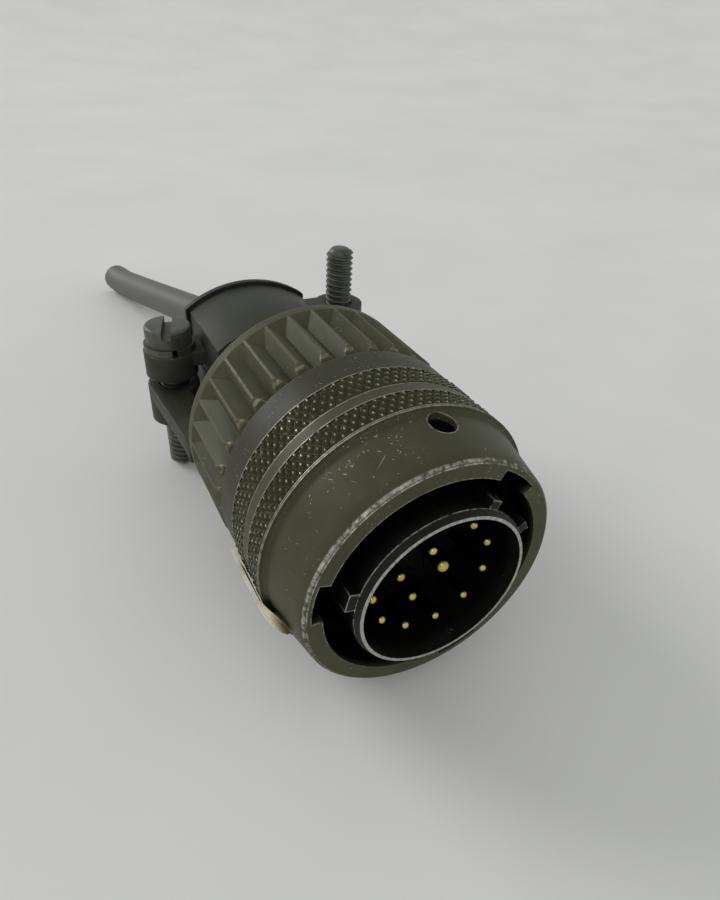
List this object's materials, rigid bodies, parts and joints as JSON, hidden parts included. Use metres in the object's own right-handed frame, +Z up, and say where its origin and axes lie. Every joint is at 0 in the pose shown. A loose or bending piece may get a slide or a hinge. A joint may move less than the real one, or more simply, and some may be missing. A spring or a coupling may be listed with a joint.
{
  "type": "circular bayonet connector plug",
  "caption": "Olive circular cable plug with a bayonet coupling ring, keyed barrel, gold pin contacts, fluted grip nut and two-screw cable clamp.",
  "frame": {"origin": "on the plug's axis, at the front rim of the barrel", "axes": "+X out of the mating side along the axis, +Z up as the plug lies on a table, with the clamp screws upright"},
  "size_m": [0.1215, 0.0322, 0.03],
  "materials": {
    "olive_ring": "olive drab plating, satin, worn bright on the edges",
    "olive_nut": "olive drab plating, satin, worn on the ridges",
    "olive_clamp": "faded olive drab plating, matt",
    "dark_shell": "dark olive plating, worn bright on the rim and keys",
    "plain_alloy": "plain",
    "spring_steel": "spring steel",
    "screw_steel": "dull plated steel",
    "gold": "gold plated",
    "black_insert": "glossy black moulding",
    "grommet_rubber": "silicone rubber",
    "black_rubber": "matt black rubber",
    "cable_jacket": "grey PVC jacket",
    "wire_jacket": "insulated wire",
    "paper": "cream paper tape"
  },
  "bodies": {
    "plug": {"plug_shell": "dark_shell", "pin_insert": "black_insert", "wire_grommet": "grommet_rubber", "power_pin": "gold", "hookup_wires": "wire_jacket", "wave_washer": "spring_steel", "retaining_ring": "spring_steel", "contact_pin_1": "gold", "contact_pin_2": "gold", "contact_pin_3": "gold", "contact_pin_4": "gold", "contact_pin_5": "gold", "contact_pin_6": "gold", "contact_pin_7": "gold", "contact_pin_8": "gold", "contact_pin_9": "gold", "contact_pin_10": "gold", "contact_pin_11": "gold", "contact_pin_12": "gold", "contact_pin_13": "gold", "contact_pin_14": "gold"},
    "thrust": {"thrust_washer": "spring_steel"},
    "coupling": {"coupling_ring": "olive_ring", "paper_tape": "paper"},
    "clamp": {"clamp_body": "olive_clamp", "upper_saddle": "olive_clamp", "lower_saddle": "olive_clamp", "left_screw": "screw_steel", "right_screw": "screw_steel", "left_lock_washer": "screw_steel", "right_lock_washer": "screw_steel", "cable_bushing": "black_rubber", "cable_core": "cable_jacket", "cable_tail": "cable_jacket", "grommet_ferrule": "plain_alloy"},
    "nut": {"grip_nut": "olive_nut"}
  },
  "joints": [
    {"name": "ring_travel", "type": "slide", "parent": "plug", "child": "thrust", "axis": [1, 0, 0], "range_m": [0, 0.0006], "stiffness_N_per_m": 3000, "springref_m": -0.0005, "deforming": ["wave_washer"]},
    {"name": "ring_turn", "type": "hinge", "parent": "thrust", "child": "coupling", "pos_m": [0, 0, 0], "axis": [1, 0, 0], "continuous": true},
    {"name": "clamp_back_off", "type": "slide", "parent": "plug", "child": "clamp", "axis": [-1, 0, 0], "range_m": [0, 0.0038]},
    {"name": "nut_unscrew", "type": "hinge", "parent": "clamp", "child": "nut", "pos_m": [0, 0, 0], "axis": [-1, 0, 0], "range_deg": [0, 1080]}
  ],
  "couplings": [
    {"joint": "nut_unscrew", "follows": "clamp_back_off", "rad_per_m": 4947.4}
  ]
}
